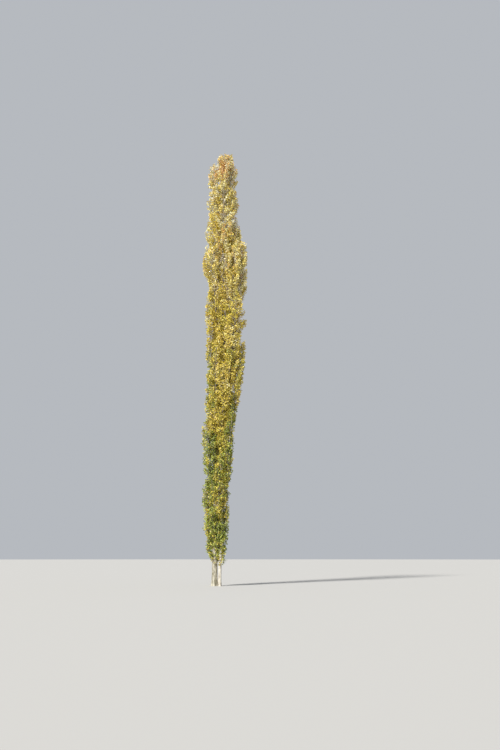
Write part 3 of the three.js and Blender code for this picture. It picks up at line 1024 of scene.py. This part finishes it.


# The leaves
# Rhombic blades, folded a little along the midrib, each on a short stalk. They grow in sprays,
# one to each twig and to the outer part of each shoot, and a spray has one tint: greener towards
# the ground and more golden towards the top, with greener and riper patches between. The tints
# are the leaves' autumn colours, painted brighter and, towards the top, paler with painted light:
# the glow of light through the leaves and their glints.

LEAF_STEP = 0.031  # from one leaf to the next
TWIG_LEAVES_FROM = 0.12  # how far along a twig the leaves start
SHOOT_LEAVES_FROM = 0.5
MASS_STEM_LEAVES_FROM = 0.85
LEAF_LENGTH = 0.115  # with its stalk
LEAF_WIDTH = 0.083
LEAF_SIZES = (0.8, 1.2)  # the least and the most, as shares of those
LEAF_FOLD = 0.22
STALK = ((-0.02, 0), (0.02, 0), (0, 0.22))  # corners across and along, in widths and lengths
BLADE = ((0.5, 0.43), (0.27, 0.72), (0, 1.05), (-0.27, 0.72), (-0.5, 0.43))
LEAF_FACES = ((0, 1, 2), (2, 3, 4), (2, 4, 5), (2, 5, 6), (2, 6, 7))
LEAF_FORWARD = 0.45  # how far it points along its twig, out to the side and down
LEAF_OUT = 0.9
LEAF_DROOP = 0.25
LEAF_STRAY = 0.35
FACING_STRAY = 0.9
# Autumn colours painted brighter than the leaves' own, and the yellow and straw tints paler, with
# painted light: the glow of light through the leaves and their glints.
TINTS = {  # from the greenest to the ripest, as screen colours
    "deep_green": "828c3a",
    "green": "a0a746",
    "olive": "b8ac46",
    "yellow_green": "cdba48",
    "mustard": "d8c554",
    "gold": "e1ca66",
    "yellow": "e6db90",
    "straw": "e8e1b8",
    "amber": "e3b966",
}
# Towards the top the leaves take the palest tints, whose paleness is partly painted light.
TURNED = (  # how far through the tints the leaves are, by height
    (1.5, 0.06),
    (4, 0.12),
    (7, 0.17),
    (10, 0.29),
    (14, 0.45),
    (18, 0.6),
    (22, 0.7),
    (26, 0.75),
)
TINT_BY_MASS = 0.06  # how much that differs between masses, patches and sprays
TINT_BY_PATCH = 0.28
TINT_BY_SPRAY = 0.11
TINT_PATCH = (0.6, 0.6, 1.25)
RIPEST = 0.999  # just under 1, which the last tint reaches up to
LEAF_MARGIN = 0.03  # how far a leaf may pass the solids' box, as a share of its side


def place_leaves(limbs, first):
    """Leaves along the limbs: where each is rooted, where it points, which way it faces"""
    which, along, turn = spaced(limbs, LEAF_STEP, first, 1)
    root = limbs.at(which, along)
    heading = limbs.heading(which, along)
    across, other = square_to(heading)
    side = across * np.cos(turn)[:, None] + other * np.sin(turn)[:, None]
    stray = LEAF_STRAY * draw.standard_normal(root.shape)
    point = unit(LEAF_FORWARD * heading + LEAF_OUT * side + [0, 0, -LEAF_DROOP] + stray)
    turned = side + FACING_STRAY * draw.standard_normal(root.shape)
    facing = unit(np.cross(point, np.cross(turned, point)))
    size = draw.uniform(*LEAF_SIZES, len(which))
    return SimpleNamespace(root=root, point=point, facing=facing, size=size, limb=which)


def leaf_mesh(name, leaves, chosen):
    """The chosen leaves as one mesh, each a stalk and two flat halves that meet in its midrib"""
    root, point, facing = leaves.root[chosen], leaves.point[chosen], leaves.facing[chosen]
    size = leaves.size[chosen, None]
    side = np.cross(point, facing)
    corners = []
    for across, along in STALK + BLADE:
        place = root + along * LEAF_LENGTH * size * point
        place = place + across * LEAF_WIDTH * size * side
        corners.append(place + abs(across) * LEAF_FOLD * LEAF_WIDTH * size * facing)
    corners = np.stack(corners, axis=1)
    starts = corners.shape[1] * np.arange(len(corners))
    faces = np.array(LEAF_FACES)[None] + starts[:, None, None]
    return mesh_of(name, corners.reshape(-1, 3), faces.reshape(-1, 3))


def choose_tints(limbs):
    """The number of each spray's tint, which differs by height, mass, patch and spray"""
    turned = size_at(TURNED, limbs.end[:, 2])
    by_mass = TINT_BY_MASS * draw.standard_normal(len(masses))[limbs.mass]
    by_patch = TINT_BY_PATCH * (luck_by_place(limbs.end, TINT_PATCH) - 0.5)
    by_spray = TINT_BY_SPRAY * draw.standard_normal(len(limbs))
    share = np.clip(turned + by_mass + by_patch + by_spray, 0, RIPEST)
    return (share * len(TINTS)).astype(int)


leaf_sets = []
leaf_bearers = (
    (twigs, TWIG_LEAVES_FROM),
    (shoots, SHOOT_LEAVES_FROM),
    (mass_stems, MASS_STEM_LEAVES_FROM),
)
for limbs, first in leaf_bearers:
    leafy = limbs.only(~limbs.bare)
    leaves = place_leaves(leafy, first)
    leaves.tint = choose_tints(leafy)[leaves.limb]
    leaves.mass = leafy.mass[leaves.limb]
    leaf_sets.append(leaves)
leaves = SimpleNamespace(
    **{
        part: np.concatenate([getattr(each, part) for each in leaf_sets])
        for part in ("root", "point", "facing", "size", "tint", "mass")
    }
)
tips = leaves.root + LEAF_LENGTH * leaves.size[:, None] * leaves.point
leaf_level = np.where(in_box(tips, LEAF_MARGIN), level_of[leaves.mass], -1)  # -1 is left out
for tint_number, (tint, code) in enumerate(TINTS.items()):
    leaf_skin = Finish("leaf_" + tint).surface({"Base Color": colour(code), "Roughness": 0.5})
    for number, level in enumerate(LEVELS):
        chosen = np.flatnonzero((leaves.tint == tint_number) & (leaf_level == number))
        if len(chosen) == 0:
            continue
        piece = leaf_mesh(f"leaves_{level}_{tint}", leaves, chosen)
        piece.data.materials.append(leaf_skin)
        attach(piece, "root")
        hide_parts(*level_nodes[level])


# Floor, light and camera
# A plain pale floor and an even pale surround, a soft key light from behind the camera and to its
# left, and a camera at eye level some forty metres off, tilted up as in the photo.

CAMERA_PLACE = (1.985, -42.4, 1.6)
CAMERA_TILT = math.radians(13.98)
LENS = 35
SENSOR_WIDTH = 36
FLOOR_RADIUS = 400
FARTHEST = 900  # what the camera still sees, past the floor's edge
KEY_TURN = math.radians(-35)  # the light comes from behind the camera, this far to its left
KEY_HEIGHT = math.radians(40)
KEY_STRENGTH = 5
KEY_SOFTNESS = math.radians(9)
SURROUND_STRENGTH = 0.55

bpy.ops.mesh.primitive_circle_add(vertices=96, radius=FLOOR_RADIUS, fill_type="NGON")
floor = bpy.context.object
floor.name = "floor"
floor_paint = {"Base Color": (0.47, 0.46, 0.44, 1), "Roughness": 1}
floor.data.materials.append(Finish("pale_floor").surface(floor_paint))

surround = bpy.data.worlds.new("pale_surround")
surround.use_nodes = True
backdrop = surround.node_tree.nodes["Background"]
backdrop.inputs["Color"].default_value = (0.85, 0.89, 0.95, 1)
backdrop.inputs["Strength"].default_value = SURROUND_STRENGTH
bpy.context.scene.world = surround

bpy.ops.object.light_add(type="SUN")
key = bpy.context.object
key.name = "key_light"
key.data.energy = KEY_STRENGTH
key.data.angle = KEY_SOFTNESS
key.data.color = (1, 0.985, 0.95)
key.rotation_euler = (math.pi / 2 - KEY_HEIGHT, 0, KEY_TURN)

bpy.ops.object.camera_add(location=CAMERA_PLACE, rotation=(math.pi / 2 + CAMERA_TILT, 0, 0))
camera = bpy.context.object
camera.data.lens = LENS
camera.data.sensor_width = SENSOR_WIDTH
camera.data.clip_end = FARTHEST
bpy.context.scene.camera = camera
bpy.context.scene.view_settings.view_transform = "Standard"
